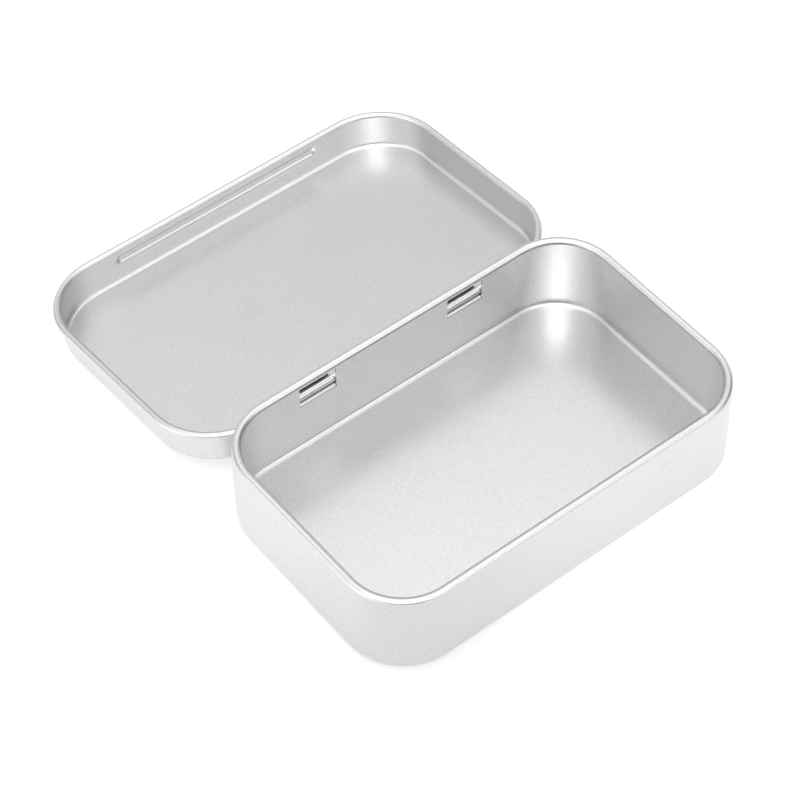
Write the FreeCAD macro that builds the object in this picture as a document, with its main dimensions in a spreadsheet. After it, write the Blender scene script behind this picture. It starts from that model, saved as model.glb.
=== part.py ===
"""Hinged tin box, open: a drawn tray and a slip-over lid on two rolled sheet-metal knuckles.

Everything is millimetres.  The tray stands on z = 0 with the middle of its footprint at the
origin, its length along X, its hinge side towards +Y.  The lid is modelled shut, about its own
hinge line, and its Placement turns it back until its far edge lies on the table.
"""
import FreeCAD, Part

import math
import os

import Sketcher
from FreeCAD import BoundBox, Placement, Rotation, Vector

FAR = 1000.0    # more than any size here
SLACK = 0.001   # allowed when an edge is looked up by its place

TABLE = (
    # alias, value, meaning
    ("length", 95.0, "tray outside, left to right"),
    ("width", 60.0, "tray outside, front to rear"),
    ("height", 21.6, "tray from the table to the top of its rim"),
    ("corner", 13.8, "outside radius of the tray's four corners"),
    ("sheet", 0.25, "thickness of the tinplate"),
    ("foot_round", 1.6, "outside radius between floor and wall"),
    ("rim_radius", 1.0, "outside radius of the tray's inward curl"),
    ("rim_wrap", 300.0, "degrees that the tray's curl turns through"),
    ("lid_depth", 9.0, "lid from its bead's edge to its flat face"),
    ("lid_round", 1.1, "outside radius between the lid's face and skirt"),
    ("bead_radius", 0.85, "outside radius of the lid's outward bead"),
    ("bead_wrap", 305.0, "degrees that the lid's bead turns through"),
    ("side_gap", 0.25, "tray to skirt, left and right"),
    ("front_gap", 0.5, "tray to skirt in front, where the lid swings past the rim"),
    ("rear_gap", 0.15, "tray to skirt at the hinge"),
    ("roof_gap", 0.15, "tray rim to the lid's face when shut"),
    ("hinge_pitch", 38.6, "middle of one knuckle to the middle of the other"),
    ("tab_width", 9.1, "width of a knuckle's tab"),
    ("tab_slit", 0.12, "cut beside a tab, each side"),
    ("window_drop", 3.4, "top of the rim to the top of a tab's window"),
    ("root_drop", 0.45, "underside of the knuckle down to the root of its tab"),
    ("tab_bend", 0.45, "radius of a tab's bend out of the wall"),
    ("knuckle_play", 0.65, "bead to the inside of a knuckle"),
    ("knuckle_lift", 0.45, "middle of the knuckle above the hinge line"),
    ("knuckle_end", 70.0, "degrees above level where a knuckle's curl stops"),
    ("slot_gap", 0.35, "knuckle to the edge of the slot in the lid's skirt"),
    ("ledge_length", 54.0, "pressed ledge in the front of the lid, end to end"),
    ("ledge_half", 1.23, "half the height of the ledge"),
    ("ledge_rise", 0.6, "how far the ledge stands out"),
    ("ledge_root", 1.5, "outside radius where the ledge runs out into the skirt"),
    ("ledge_level", 5.7, "lid's flat face to the middle of the ledge"),
    ("pip_length", 3.2, "pressed pip on the front of the tray, end to end"),
    ("pip_half", 0.5, "half the height of a pip"),
    ("pip_rise", 0.15, "how far a pip stands out"),
    ("pip_level", 15.4, "table to the middle of a pip"),
    ("pip_pitch", 44.4, "middle of one pip to the middle of the other"),
)

# Lengths that follow from the table, written once as expressions on its cells.
HINGE_Y = "(Sizes.width / 2 + Sizes.rear_gap + Sizes.bead_radius)"
HINGE_Z = "(Sizes.height + Sizes.roof_gap + Sizes.sheet + Sizes.bead_radius - Sizes.lid_depth)"
LID_TOP = "(Sizes.lid_depth - Sizes.bead_radius)"
KNUCKLE_INSIDE = "(Sizes.bead_radius + Sizes.knuckle_play)"
KNUCKLE_Z = "(" + HINGE_Z + " + Sizes.knuckle_lift)"
ROOT_BELOW = "(" + KNUCKLE_INSIDE + " + Sizes.sheet + Sizes.root_drop)"
TAB_ROOT = "(" + KNUCKLE_Z + " - " + ROOT_BELOW + ")"
WALL_CUT = "(4 * Sizes.sheet)"     # deep enough to go through the wall from its outer face
SKIRT_CUT = "(1.4 * Sizes.sheet)"  # through the skirt from its middle, short of the bead's far side


def make_sheet(doc):
    """The driving dimensions, one row each: alias, value, meaning."""
    sheet = doc.addObject("Spreadsheet::Sheet", "Sizes")
    for row, (alias, value, meaning) in enumerate(TABLE, start=1):
        sheet.set("A%d" % row, alias)
        sheet.set("B%d" % row, str(value))
        sheet.set("C%d" % row, meaning)
        sheet.setAlias("B%d" % row, alias)
    doc.recompute()
    return sheet


def new_body(doc, label):
    body = doc.addObject("PartDesign::Body", label)
    body.Label = label
    return body


def origin_plane(body, role):
    return next(item for item in body.Origin.OriginFeatures if item.Role == role)


def new_sketch(body, name, role, **shift):
    """A sketch on one of the body's own origin planes, shifted in its own frame by expressions."""
    sketch = body.newObject("Sketcher::SketchObject", name)
    sketch.AttachmentSupport = [(origin_plane(body, role), "")]
    sketch.MapMode = "FlatFace"
    for axis, expression in shift.items():
        if expression:
            sketch.setExpression("AttachmentOffset.Base." + axis, expression)
    body.Document.recompute()
    return sketch


def new_feature(body, kind, name, sketch, **sizes):
    """A sketch-based feature whose sizes are expressions."""
    feature = body.newObject("PartDesign::" + kind, name)
    feature.Profile = (sketch, [""])
    for size, expression in sizes.items():
        feature.setExpression(size, expression)
    sketch.Visibility = False
    return feature


def reader(sheet):
    """Turns an expression on the sheet's cells into a number; None stands for zero."""
    def get(expression):
        return float(sheet.evalExpression(expression)) if expression else 0.0
    return get


class Profile:
    """Adds lines and arcs to a sketch and binds their dimensions to the sheet."""

    START, END, MIDDLE = 1, 2, 3
    ORIGIN = (-1, 1)
    LEVEL_AXIS, UPRIGHT_AXIS = -1, -2

    def __init__(self, sketch, get):
        self.sketch = sketch
        self.get = get

    def line(self, start, end):
        return self.sketch.addGeometry(Part.LineSegment(Vector(*start, 0), Vector(*end, 0)), False)

    def arc(self, middle, radius, first, last):
        """A counter-clockwise arc between two angles in degrees."""
        circle = Part.Circle(Vector(*middle, 0), Vector(0, 0, 1), radius)
        arc = Part.ArcOfCircle(circle, math.radians(first), math.radians(last))
        return self.sketch.addGeometry(arc, False)

    def tie(self, kind, *where):
        return self.sketch.addConstraint(Sketcher.Constraint(kind, *where))

    def size(self, kind, *where, by, unit=1.0):
        """A dimension whose value is an expression; unit turns degrees into radians."""
        index = self.tie(kind, *where, self.get(by) * unit)
        text = by if unit == 1.0 else "(%s) * 1 deg" % by
        self.sketch.setExpression("Constraints[%d]" % index, text)

    def angle(self, geometry, by):
        self.size("Angle", geometry, by=by, unit=math.pi / 180)

    def across(self, geometry, point, by):
        """A point's distance from the upright axis; None keeps it on the axis."""
        if by:
            self.size("DistanceX", *self.ORIGIN, geometry, point, by=by)
        else:
            self.tie("PointOnObject", geometry, point, self.UPRIGHT_AXIS)

    def up(self, geometry, point, by):
        """A point's distance from the level axis; None keeps it on the axis."""
        if by:
            self.size("DistanceY", *self.ORIGIN, geometry, point, by=by)
        else:
            self.tie("PointOnObject", geometry, point, self.LEVEL_AXIS)


def rectangle(sketch, get, left, right, low, high):
    """An upright rectangle between four expressions."""
    profile = Profile(sketch, get)
    x_low, x_high, y_low, y_high = (get(text) for text in (left, right, low, high))
    corners = [(x_low, y_low), (x_high, y_low), (x_high, y_high), (x_low, y_high)]
    sides = [profile.line(one, other) for one, other in zip(corners, corners[1:] + corners[:1])]
    for one, other in zip(sides, sides[1:] + sides[:1]):
        profile.tie("Coincident", one, profile.END, other, profile.START)
    for side, kind in zip(sides, ("Horizontal", "Vertical") * 2):
        profile.tie(kind, side)
    for side, x_text, y_text in ((sides[0], left, low), (sides[2], right, high)):
        profile.across(side, profile.START, x_text)
        profile.up(side, profile.START, y_text)


def rounded_rectangle(sketch, get, length, low, high, corner):
    """A rectangle centred on the upright axis, with four equal round corners.

    It starts in the middle of its low side and runs counter-clockwise, so that the profile of
    a pipe can sit at its start.
    """
    profile = Profile(sketch, get)
    across, bottom, top, radius = get(length) / 2, get(low), get(high), get(corner)
    side, under, over = across - radius, bottom + radius, top - radius
    edges = [
        profile.line((0, bottom), (side, bottom)),
        profile.arc((side, under), radius, -90, 0),
        profile.line((across, under), (across, over)),
        profile.arc((side, over), radius, 0, 90),
        profile.line((side, top), (-side, top)),
        profile.arc((-side, over), radius, 90, 180),
        profile.line((-across, over), (-across, under)),
        profile.arc((-side, under), radius, 180, 270),
        profile.line((-side, bottom), (0, bottom)),
    ]
    front, right, rear, left = edges[0], edges[2], edges[4], edges[6]
    for one, other in zip(edges[:-1], edges[1:]):
        profile.tie("Tangent", one, profile.END, other, profile.START)
    profile.tie("Coincident", edges[-1], profile.END, front, profile.START)
    for arc in edges[3::2]:
        profile.tie("Equal", edges[1], arc)
    for edge in (front, rear):
        profile.tie("Horizontal", edge)
    for edge in (left, right):
        profile.tie("Vertical", edge)
    profile.tie("Symmetric", right, profile.START, left, profile.END, profile.UPRIGHT_AXIS)
    profile.size("Radius", edges[1], by=corner)
    profile.across(front, profile.START, None)
    profile.up(front, profile.START, low)
    profile.up(rear, profile.START, high)
    profile.size("DistanceX", left, profile.START, right, profile.START, by=length)


def curl(sketch, get, radius, first, last):
    """The section of a rolled edge about the sketch's origin, one sheet thick.

    It runs between two angles; the last one is where it meets the wall, level with the origin.
    """
    profile = Profile(sketch, get)
    inside = "%s - Sizes.sheet" % radius
    angles = get(first), get(last)
    outer = profile.arc((0, 0), get(radius), *angles)
    inner = profile.arc((0, 0), get(inside), *angles)
    ends = []
    for point, angle in ((profile.START, angles[0]), (profile.END, angles[1])):
        turn = math.radians(angle)
        near, far = (
            (size * math.cos(turn), size * math.sin(turn)) for size in (get(inside), get(radius)))
        end = profile.line(near, far)
        profile.tie("Coincident", end, profile.START, inner, point)
        profile.tie("Coincident", end, profile.END, outer, point)
        ends.append(end)
    free, rooted = ends
    for arc, size in ((outer, radius), (inner, inside)):
        profile.tie("Coincident", arc, profile.MIDDLE, *profile.ORIGIN)
        profile.size("Radius", arc, by=size)
    for point in (profile.START, profile.END):
        profile.tie("PointOnObject", rooted, point, profile.LEVEL_AXIS)
    profile.tie("PointOnObject", *profile.ORIGIN, free)
    profile.angle(free, first)


def half_capsule(sketch, get, length, radius):
    """Half the outline of a round-ended bar along the level axis; length is between centres."""
    profile = Profile(sketch, get)
    half, size = get(length) / 2, get(radius)
    spine = profile.line((half + size, 0), (-half - size, 0))
    left = profile.arc((-half, 0), size, 180, 270)
    flank = profile.line((-half, -size), (half, -size))
    right = profile.arc((half, 0), size, 270, 360)
    for one, other in ((left, flank), (flank, right)):
        profile.tie("Tangent", one, profile.END, other, profile.START)
    for one, other in ((spine, left), (right, spine)):
        profile.tie("Coincident", one, profile.END, other, profile.START)
    for arc, point in ((left, profile.START), (right, profile.END)):
        profile.up(arc, point, None)
        profile.size("Radius", arc, by=radius)
    profile.up(left, profile.MIDDLE, None)
    profile.tie("Symmetric", left, profile.MIDDLE, right, profile.MIDDLE, *profile.ORIGIN)
    profile.size("DistanceX", left, profile.MIDDLE, right, profile.MIDDLE, by=length)


def knuckle(sketch, get):
    """A tab in section: out of the wall, under the lid's bead, and round behind it.

    The sketch's origin is the middle of the round part, with the outside of the wall to its left.
    """
    profile = Profile(sketch, get)
    sheet, bend = get("Sizes.sheet"), get("Sizes.tab_bend")
    inside, end = get(KNUCKLE_INSIDE), get("Sizes.knuckle_end")
    bend_across = "(Sizes.tab_bend - Sizes.rear_gap - Sizes.bead_radius)"
    centre = Vector(get(bend_across), -get(ROOT_BELOW), 0)
    span = inside + bend + sheet
    slope = math.degrees(math.asin(span / centre.Length) - math.atan2(centre.x, -centre.y))

    def polar(about, radius, angle):
        turn = math.radians(angle)
        return about.x + radius * math.cos(turn), about.y + radius * math.sin(turn)

    middle = Vector(0, 0, 0)
    faces = []
    for bend_size, round_size, round_text in (
            (bend + sheet, inside, KNUCKLE_INSIDE),
            (bend, inside + sheet, KNUCKLE_INSIDE + " + Sizes.sheet")):
        bent = profile.arc((centre.x, centre.y), bend_size, 180 - slope, 180)
        rolled = profile.arc((0, 0), round_size, -slope, end)
        flat = profile.line(polar(centre, bend_size, 180 - slope), polar(middle, round_size, -slope))
        profile.tie("Coincident", rolled, profile.MIDDLE, *profile.ORIGIN)
        profile.size("Radius", rolled, by=round_text)
        profile.tie("Tangent", flat, profile.START, bent, profile.START)
        profile.tie("Tangent", flat, profile.END, rolled, profile.START)
        faces.append((bent, rolled))
    (inner_bend, inner_roll), (outer_bend, outer_roll) = faces
    profile.size("Radius", outer_bend, by="Sizes.tab_bend")
    profile.size("Radius", inner_bend, by="Sizes.tab_bend + Sizes.sheet")
    profile.tie("Coincident", inner_bend, profile.MIDDLE, outer_bend, profile.MIDDLE)
    profile.across(outer_bend, profile.MIDDLE, bend_across)
    profile.up(outer_bend, profile.MIDDLE, "-" + ROOT_BELOW)
    for bent in (inner_bend, outer_bend):
        profile.tie("Horizontal", bent, profile.END, bent, profile.MIDDLE)
    root = profile.line(polar(centre, bend + sheet, 180), polar(centre, bend, 180))
    profile.tie("Coincident", root, profile.START, inner_bend, profile.END)
    profile.tie("Coincident", root, profile.END, outer_bend, profile.END)
    tip = profile.line(polar(middle, inside, end), polar(middle, inside + sheet, end))
    profile.tie("Coincident", tip, profile.START, inner_roll, profile.END)
    profile.tie("Coincident", tip, profile.END, outer_roll, profile.END)
    profile.tie("PointOnObject", *profile.ORIGIN, tip)
    profile.angle(tip, "Sizes.knuckle_end")


def level_at(height):
    """A flat region at one height, wider than the box."""
    return BoundBox(-FAR, -FAR, height, FAR, FAR, height)


def round_edges(body, name, base, region, radius):
    """Fillets every edge of a feature that lies inside a region."""
    body.Document.recompute()
    region.enlarge(SLACK)
    names = ["Edge%d" % index for index, edge in enumerate(base.Shape.Edges, start=1)
             if region.isInside(edge.BoundBox)]
    fillet = body.newObject("PartDesign::Fillet", name)
    fillet.Base = (base, names)
    fillet.setExpression("Radius", radius)
    body.Document.recompute()
    return fillet


def roll_edge(body, name, get, spine_sizes, level, section_shift, radius, angles):
    """Sweeps a curl once round a rounded rectangle."""
    spine = new_sketch(body, name + "Line", "XY_Plane", z=level)
    rounded_rectangle(spine, get, *spine_sizes)
    section = new_sketch(body, name + "Section", "YZ_Plane", x=section_shift, y=level)
    curl(section, get, radius, *angles)
    body.Document.recompute()
    pipe = new_feature(body, "AdditivePipe", name, section)
    pipe.Spine = (spine, ["Edge%d" % (index + 1) for index in range(spine.GeometryCount)])
    spine.Visibility = False
    return pipe


def mirror(body, name, features):
    """The same features again on the other side of the box."""
    body.Document.recompute()
    twin = body.newObject("PartDesign::Mirrored", name)
    twin.Originals = features
    twin.MirrorPlane = (origin_plane(body, "YZ_Plane"), [""])
    body.Tip = twin
    body.Document.recompute()
    return twin


def press(body, name, get, kind, centre, length, radius):
    """A round-ended bar along X, added for a bulge's outside or cut for its inside."""
    across, back, level = centre
    sketch = new_sketch(body, name + "Outline", "XY_Plane", x=across, y=back, z=level)
    half_capsule(sketch, get, length, radius)
    feature = new_feature(body, kind, name, sketch)
    feature.ReferenceAxis = (sketch, ["H_Axis"])
    feature.Angle = 360
    body.Document.recompute()
    return feature


def bulge_radius(half, rise):
    """Radius of the round that is 2 x half wide where it stands out by rise."""
    return "((%s ^ 2 + %s ^ 2) / (2 * %s))" % (half, rise, rise)


def make_tray(doc, get):
    """The lower half: floor, wall, inward curl, two pips in front, two knuckles behind."""
    body = new_body(doc, "base")
    half_width = "(Sizes.width / 2)"
    curl_level = "(Sizes.height - Sizes.rim_radius)"

    outline = new_sketch(body, "Footprint", "XY_Plane")
    rounded_rectangle(outline, get, "Sizes.length", "-" + half_width, half_width, "Sizes.corner")
    new_feature(body, "Pad", "Block", outline, Length=curl_level)

    pip_radius = bulge_radius("Sizes.pip_half", "Sizes.pip_rise")
    pip_back = "%s - Sizes.pip_rise - %s" % (pip_radius, half_width)
    pip_centre = ("-Sizes.pip_pitch / 2", pip_back, "Sizes.pip_level")
    pip_span = "(Sizes.pip_length - 2 * Sizes.pip_half)"
    pip = press(body, "Pip", get, "Revolution", pip_centre, pip_span, pip_radius)
    mirror(body, "PipTwin", [pip])

    inside = new_sketch(body, "Inside", "XY_Plane", z=curl_level)
    low, high = "Sizes.sheet - " + half_width, half_width + " - Sizes.sheet"
    rounded_rectangle(inside, get, "(Sizes.length - 2 * Sizes.sheet)", low, high,
                      "(Sizes.corner - Sizes.sheet)")
    hollow = new_feature(body, "Pocket", "Hollow", inside, Length=curl_level + " - Sizes.sheet")
    inner_round = round_edges(body, "FloorRound", hollow, level_at(get("Sizes.sheet")),
                              "Sizes.foot_round - Sizes.sheet")
    round_edges(body, "FootRound", inner_round, level_at(0), "Sizes.foot_round")

    dimple = press(body, "Dimple", get, "Groove", pip_centre, pip_span,
                   "(%s - Sizes.sheet)" % pip_radius)
    mirror(body, "DimpleTwin", [dimple])

    spine = ("(Sizes.length - 2 * Sizes.rim_radius)", "Sizes.rim_radius - " + half_width,
             half_width + " - Sizes.rim_radius", "(Sizes.corner - Sizes.rim_radius)")
    roll_edge(body, "Rim", get, spine, curl_level, spine[1], "Sizes.rim_radius",
              ("180 - Sizes.rim_wrap", "180"))

    doc.recompute()
    hole = new_sketch(body, "WindowOutline", "XZ_Plane", x="Sizes.hinge_pitch / 2",
                      z="-" + half_width)
    reach = "(Sizes.tab_width / 2 + Sizes.tab_slit)"
    rectangle(hole, get, "-" + reach, reach, TAB_ROOT, "Sizes.height - Sizes.window_drop")
    window = new_feature(body, "Pocket", "Window", hole, Length=WALL_CUT)
    window.Midplane = True
    doc.recompute()

    section = new_sketch(body, "TabSection", "YZ_Plane", x=HINGE_Y, y=KNUCKLE_Z,
                         z="Sizes.hinge_pitch / 2")
    knuckle(section, get)
    tab = new_feature(body, "Pad", "Tab", section, Length="Sizes.tab_width")
    tab.Midplane = True
    mirror(body, "HingeTwin", [window, tab])
    return body


def make_lid(doc, get):
    """The upper half, drawn shut about its hinge line, then laid open on the table."""
    body = new_body(doc, "lid")
    skirt_low = "(Sizes.bead_radius + Sizes.rear_gap + Sizes.width + Sizes.front_gap)"

    outline = new_sketch(body, "Outline", "XY_Plane")
    rounded_rectangle(outline, get, "(Sizes.length + 2 * Sizes.side_gap + 2 * Sizes.sheet)",
                      "-(%s + Sizes.sheet)" % skirt_low, "Sizes.sheet - Sizes.bead_radius",
                      "(Sizes.corner + Sizes.side_gap + Sizes.sheet)")
    new_feature(body, "Pad", "Block", outline, Length=LID_TOP)

    ledge_radius = bulge_radius("Sizes.ledge_half", "Sizes.ledge_rise")
    ledge_back = "%s - Sizes.ledge_rise - Sizes.sheet - %s" % (ledge_radius, skirt_low)
    ledge_centre = (None, ledge_back, LID_TOP + " - Sizes.ledge_level")
    ledge_span = "(Sizes.ledge_length - 2 * Sizes.ledge_half)"

    def ledge_foot(depth):
        """Where the ledge meets a face of the skirt."""
        reach, half = get("Sizes.ledge_length / 2"), get("Sizes.ledge_half")
        back, level = -get(depth), get(ledge_centre[2])
        return BoundBox(-reach, back, level - half, reach, back, level + half)

    ledge = press(body, "Ledge", get, "Revolution", ledge_centre, ledge_span, ledge_radius)
    round_edges(body, "LedgeRoot", ledge, ledge_foot(skirt_low + " + Sizes.sheet"),
                "Sizes.ledge_root")

    inside = new_sketch(body, "Inside", "XY_Plane")
    rounded_rectangle(inside, get, "(Sizes.length + 2 * Sizes.side_gap)", "-" + skirt_low,
                      "-Sizes.bead_radius", "(Sizes.corner + Sizes.side_gap)")
    hollow = new_feature(body, "Pocket", "Hollow", inside, Length=LID_TOP + " - Sizes.sheet")
    hollow.Reversed = True
    inner_round = round_edges(body, "InnerRound", hollow, level_at(get(LID_TOP + " - Sizes.sheet")),
                              "Sizes.lid_round - Sizes.sheet")
    round_edges(body, "FaceRound", inner_round, level_at(get(LID_TOP)), "Sizes.lid_round")

    channel = press(body, "LedgeInside", get, "Groove", ledge_centre, ledge_span,
                    "(%s - Sizes.sheet)" % ledge_radius)
    round_edges(body, "ChannelRoot", channel, ledge_foot(skirt_low),
                "Sizes.ledge_root + Sizes.sheet")

    spine = ("(Sizes.length + 2 * Sizes.side_gap + 2 * Sizes.bead_radius)",
             "-(%s + Sizes.bead_radius)" % skirt_low, None,
             "(Sizes.corner + Sizes.side_gap + Sizes.bead_radius)")
    roll_edge(body, "Bead", get, spine, None, spine[1], "Sizes.bead_radius",
              ("-Sizes.bead_wrap", "0"))

    doc.recompute()
    slot_outline = new_sketch(body, "SlotOutline", "XZ_Plane", x="Sizes.hinge_pitch / 2",
                              z="Sizes.bead_radius - Sizes.sheet / 2")
    reach = "(Sizes.tab_width / 2 + Sizes.slot_gap)"
    rectangle(slot_outline, get, "-" + reach, reach, None,
              "Sizes.knuckle_lift + %s + Sizes.sheet + Sizes.slot_gap" % KNUCKLE_INSIDE)
    slot = new_feature(body, "Pocket", "Slot", slot_outline, Length=SKIRT_CUT)
    slot.Midplane = True
    mirror(body, "SlotTwin", [slot])

    far = "(%s + Sizes.sheet - Sizes.lid_round)" % skirt_low
    tall = "(%s - Sizes.lid_round)" % LID_TOP
    drop = "(%s - Sizes.lid_round)" % HINGE_Z
    reach = "sqrt(%s ^ 2 + %s ^ 2)" % (far, tall)
    opened = "(180 - asin(%s / %s) / 1 deg + atan(%s / %s) / 1 deg)" % (drop, reach, tall, far)
    body.Placement = Placement(Vector(0, 0, 0), Rotation(Vector(1, 0, 0), get(opened)))
    body.setExpression("Placement.Base.y", HINGE_Y)
    body.setExpression("Placement.Base.z", HINGE_Z)
    body.setExpression("Placement.Rotation.Angle", "%s * 1 deg" % opened)
    return body


def check(doc, bodies):
    """Stops before anything is written if a feature failed or a body isn't one sound solid."""
    for item in doc.Objects:
        if {"Invalid", "Error"} & set(item.State):
            raise RuntimeError("%s did not compute: %s" % (item.Name, item.State))
    for body in bodies:
        shape = body.Shape
        if shape.isNull() or not shape.isValid() or len(shape.Solids) != 1:
            raise RuntimeError("%s is not one sound solid" % body.Label)


def main():
    doc = FreeCAD.newDocument("HingedTin")
    get = reader(make_sheet(doc))
    bodies = [make_tray(doc, get), make_lid(doc, get)]
    doc.recompute()
    check(doc, bodies)
    os.makedirs("parts", exist_ok=True)
    for body in bodies:
        body.Shape.exportStep("parts/%s.step" % body.Label)
        box = body.Shape.optimalBoundingBox(False, False)
        print(body.Label, "volume %.1f" % body.Shape.Volume, "x %.2f %.2f" % (box.XMin, box.XMax),
              "y %.2f %.2f" % (box.YMin, box.YMax), "z %.2f %.2f" % (box.ZMin, box.ZMax))
    print("hinge line y %.4f z %.4f" % (get(HINGE_Y), get(HINGE_Z)))


main()
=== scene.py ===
import math
from collections import namedtuple

import bpy
from mathutils import Matrix, Vector

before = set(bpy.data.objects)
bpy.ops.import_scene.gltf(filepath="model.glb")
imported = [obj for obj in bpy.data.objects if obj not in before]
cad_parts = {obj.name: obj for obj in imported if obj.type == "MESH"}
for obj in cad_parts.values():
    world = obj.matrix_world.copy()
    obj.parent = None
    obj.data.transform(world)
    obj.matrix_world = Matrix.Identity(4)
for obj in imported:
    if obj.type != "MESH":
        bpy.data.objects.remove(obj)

MILLIMETRE = 0.001

# The camera, in the part's own frame. It looks at a point of the table between tray and lid.
# Its place, turn and lens are the result of a least-squares fit.
CAMERA_AIM = Vector((-0.61, 26.70, 0.0)) * MILLIMETRE
CAMERA_AZIMUTH = -37.71
CAMERA_ELEVATION = 50.23
CAMERA_ROLL = -0.90
CAMERA_DISTANCE = 584.88 * MILLIMETRE
CAMERA_LENS = 125.34
CAMERA_SENSOR = 36.0
CAMERA_NEAREST = 20.0 * MILLIMETRE    # nothing is drawn closer than this
CAMERA_FARTHEST = 10000.0 * MILLIMETRE

# The bare tinplate: a fine grain, and wide clouds in which it is a little duller or shinier.
TIN_COLOUR = (0.677, 0.668, 0.680)
TIN_ROUGHNESS = 0.33
GRAINS_PER_METRE = 2600.0
GRAIN_CONTRAST = 0.07
GRAIN_DEPTH = 0.02 * MILLIMETRE
GRAIN_BUMP = 0.25                 # how much of the bump is mixed in, from 0 to 1
CLOUDS_PER_METRE = 70.0
CLOUD_CONTRAST = 0.03
NOISE_LOW, NOISE_HIGH = 0.3, 0.7  # most of a noise texture's values lie between these

# The table. It glows less in a round patch before the tray's near corner: painted shade that stands
# in for shadow on the table there, so that the tray's near corner reflects it as a darker band.
TABLE_HALF = 3000.0 * MILLIMETRE
TABLE_DROP = 0.02 * MILLIMETRE   # below the part, so that no two faces share a plane
TABLE_SHADE = 0.5
TABLE_GLOW = 0.57
SHADE_PATCH_GLOW = 0.37
SHADE_PATCH_PLACE = Vector((-52.0, -50.0, 0.0)) * MILLIMETRE
SHADE_PATCH_DIM = 18.0 * MILLIMETRE    # the glow starts to grow this far from the patch's middle
SHADE_PATCH_END = 70.0 * MILLIMETRE    # and is full from here on

# The studio. Azimuth 0 is the front of the tray. A light fades outwards as a bell curve does, and
# its spread, in degrees, is the distance from its middle where six tenths of the radiance are left.
# SHARED_LIGHT and the lights are the rounded result of a least-squares fit that picked them out of
# many, apart from what a row's comment calls changed or added.
LIGHT_COLOUR = (1.0, 0.996, 1.0, 1.0)
SHARED_LIGHT = 0.05
Light = namedtuple("Light", "azimuth elevation spread radiance")
LIGHTS = (
    Light(-38, 50, 13, 2.8),   # large, over the camera; radiance changed
    Light(-40, 65, 4, 11.0),   # small and strong, above the camera; added
    Light(7, 28, 13, 1.5),     # in front
    Light(37, 28, 13, 1.5),    # front right; radiance changed
    Light(-98, 12, 24, 1.95),  # wide and low, left
    Light(112, 8, 13, 1.3),    # low, right
    Light(172, 12, 18, 0.6),   # low, behind
    Light(172, 45, 24, 0.6),   # wide, behind
    Light(97, 60, 15, 0.8),    # high, right; changed, from two lights to one
    Light(0, 90, 24, 1.7),     # wide, overhead
)


def direction(azimuth, elevation):
    """The unit vector from the aim towards a viewer or a light."""
    around, above = math.radians(azimuth), math.radians(elevation)
    flat = math.cos(above)
    return Vector((math.sin(around) * flat, -math.cos(around) * flat, math.sin(above)))


def add_camera():
    data = bpy.data.cameras.new("camera")
    data.sensor_width = CAMERA_SENSOR
    data.lens = CAMERA_LENS
    data.clip_start = CAMERA_NEAREST
    data.clip_end = CAMERA_FARTHEST
    camera = bpy.data.objects.new("camera", data)
    bpy.context.scene.collection.objects.link(camera)
    back = direction(CAMERA_AZIMUTH, CAMERA_ELEVATION)
    level_right = Vector((0.0, 0.0, 1.0)).cross(back).normalized()
    level_up = back.cross(level_right)
    roll = math.radians(CAMERA_ROLL)
    right = level_right * math.cos(roll) + level_up * math.sin(roll)
    up = back.cross(right)
    turn = Matrix((right, up, back)).transposed().to_4x4()
    camera.matrix_world = Matrix.Translation(CAMERA_AIM + back * CAMERA_DISTANCE) @ turn
    bpy.context.scene.camera = camera


class Shader:
    """A node material that is put together one node at a time."""

    def __init__(self, name):
        self.material = bpy.data.materials.new(name)
        self.material.use_nodes = True
        self.tree = self.material.node_tree
        self.tree.nodes.clear()

    def node(self, kind, inputs=None, **settings):
        made = self.tree.nodes.new(kind)
        for key, value in settings.items():
            setattr(made, key, value)
        for key, value in (inputs or {}).items():
            if isinstance(value, bpy.types.NodeSocket):
                self.tree.links.new(value, made.inputs[key])
            else:
                made.inputs[key].default_value = value
        return made

    def output(self, surface):
        self.node("ShaderNodeOutputMaterial", {"Surface": surface})
        return self.material


def vary(shader, noise, middle, contrast):
    """Turns noise into values that lie as far below as above a middle one."""
    return shader.node("ShaderNodeMapRange", {
        "Value": noise, "From Min": NOISE_LOW, "From Max": NOISE_HIGH,
        "To Min": middle - contrast, "To Max": middle + contrast,
    }).outputs["Result"]


def tinplate():
    shader = Shader("tinplate_satin")
    place = shader.node("ShaderNodeTexCoord").outputs["Object"]
    grain = shader.node("ShaderNodeTexNoise", {
        "Vector": place, "Scale": GRAINS_PER_METRE, "Detail": 2.0,
    })
    cloud = shader.node("ShaderNodeTexNoise", {
        "Vector": place, "Scale": CLOUDS_PER_METRE, "Detail": 3.0,
    })
    bright = vary(shader, grain.outputs["Fac"], 1.0, GRAIN_CONTRAST)
    colour = shader.node("ShaderNodeMix", {
        "Factor": 1.0, "A": (*TIN_COLOUR, 1.0), "B": bright,
    }, data_type="RGBA", blend_type="MULTIPLY")
    roughness = vary(shader, cloud.outputs["Fac"], TIN_ROUGHNESS, CLOUD_CONTRAST)
    bump = shader.node("ShaderNodeBump", {
        "Height": grain.outputs["Fac"], "Strength": GRAIN_BUMP, "Distance": GRAIN_DEPTH,
    })
    surface = shader.node("ShaderNodeBsdfPrincipled", {
        "Base Color": colour.outputs["Result"],
        "Metallic": 1.0,
        "Roughness": roughness,
        "Normal": bump.outputs["Normal"],
    })
    return shader.output(surface.outputs["BSDF"])


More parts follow.
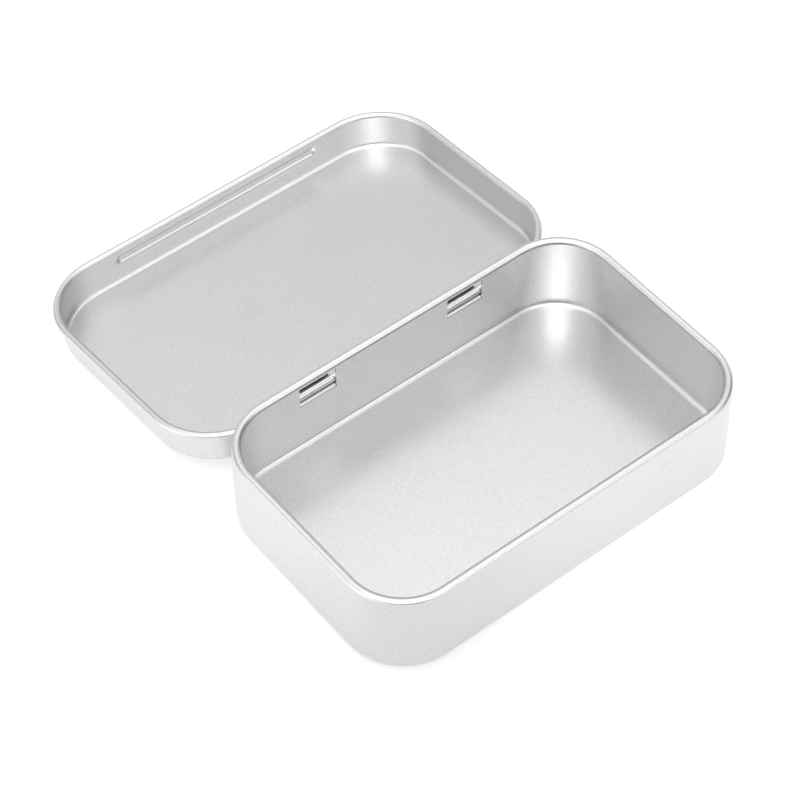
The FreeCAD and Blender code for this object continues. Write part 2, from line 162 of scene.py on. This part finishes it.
def table_top():
    """Matt white, and lit a little from within, as a light table is, except in a round patch of
    painted shade where it glows less.
    """
    shader = Shader("table_white")
    matt = shader.node("ShaderNodeBsdfDiffuse", {"Color": (*[TABLE_SHADE] * 3, 1.0)})
    place = shader.node("ShaderNodeTexCoord").outputs["Object"]
    # Painted shade: the glow is dimmed in a round patch before the tray's near corner, standing in
    # for shadow on the table.
    away = shader.node("ShaderNodeVectorMath", {0: place, 1: SHADE_PATCH_PLACE}, operation="DISTANCE")
    glow_with_painted_shade = shader.node("ShaderNodeMapRange", {
        "Value": away.outputs["Value"], "From Min": SHADE_PATCH_DIM, "From Max": SHADE_PATCH_END,
        "To Min": SHADE_PATCH_GLOW, "To Max": TABLE_GLOW,
    }, interpolation_type="SMOOTHSTEP")
    glow = shader.node("ShaderNodeEmission", {
        "Color": LIGHT_COLOUR, "Strength": glow_with_painted_shade.outputs["Result"],
    })
    both = shader.node("ShaderNodeAddShader")
    shader.tree.links.new(matt.outputs["BSDF"], both.inputs[0])
    shader.tree.links.new(glow.outputs["Emission"], both.inputs[1])
    return shader.output(both.outputs["Shader"])


def add_table():
    half = TABLE_HALF
    mesh = bpy.data.meshes.new("table")
    corners = [(-half, -half, 0.0), (half, -half, 0.0), (half, half, 0.0), (-half, half, 0.0)]
    mesh.from_pydata(corners, [], [(0, 1, 2, 3)])
    table = bpy.data.objects.new("table", mesh)
    table.location.z = -TABLE_DROP
    bpy.context.scene.collection.objects.link(table)
    mesh.materials.append(table_top())


def add_sky(shared, lights):
    """The light all round: one even level, and a soft patch for each light of the studio."""
    world = bpy.data.worlds.new("studio")
    world.use_nodes = True
    tree = world.node_tree
    towards = tree.nodes.new("ShaderNodeTexCoord").outputs["Generated"]

    def math_node(operation, *values):
        made = tree.nodes.new("ShaderNodeMath")
        made.operation = operation
        for socket, value in zip(made.inputs, values):
            if isinstance(value, bpy.types.NodeSocket):
                tree.links.new(value, socket)
            else:
                socket.default_value = value
        return made.outputs["Value"]

    total = math_node("ADD", shared, 0.0)
    for light in lights:
        near = tree.nodes.new("ShaderNodeVectorMath")
        near.operation = "DOT_PRODUCT"
        tree.links.new(towards, near.inputs[0])
        near.inputs[1].default_value = direction(light.azimuth, light.elevation)
        apart = math_node("SUBTRACT", near.outputs["Value"], 1.0)
        faded = math_node("EXPONENT", math_node("DIVIDE", apart, math.radians(light.spread) ** 2))
        total = math_node("MULTIPLY_ADD", faded, light.radiance, total)
    sky = tree.nodes["Background"]
    sky.inputs["Color"].default_value = LIGHT_COLOUR
    tree.links.new(total, sky.inputs["Strength"])
    bpy.context.scene.world = world


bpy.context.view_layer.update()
add_camera()
tin = tinplate()
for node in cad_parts.values():
    for slot in node.material_slots:
        slot.material = tin
add_table()
add_sky(SHARED_LIGHT, LIGHTS)
bpy.context.scene.view_settings.view_transform = "Standard"
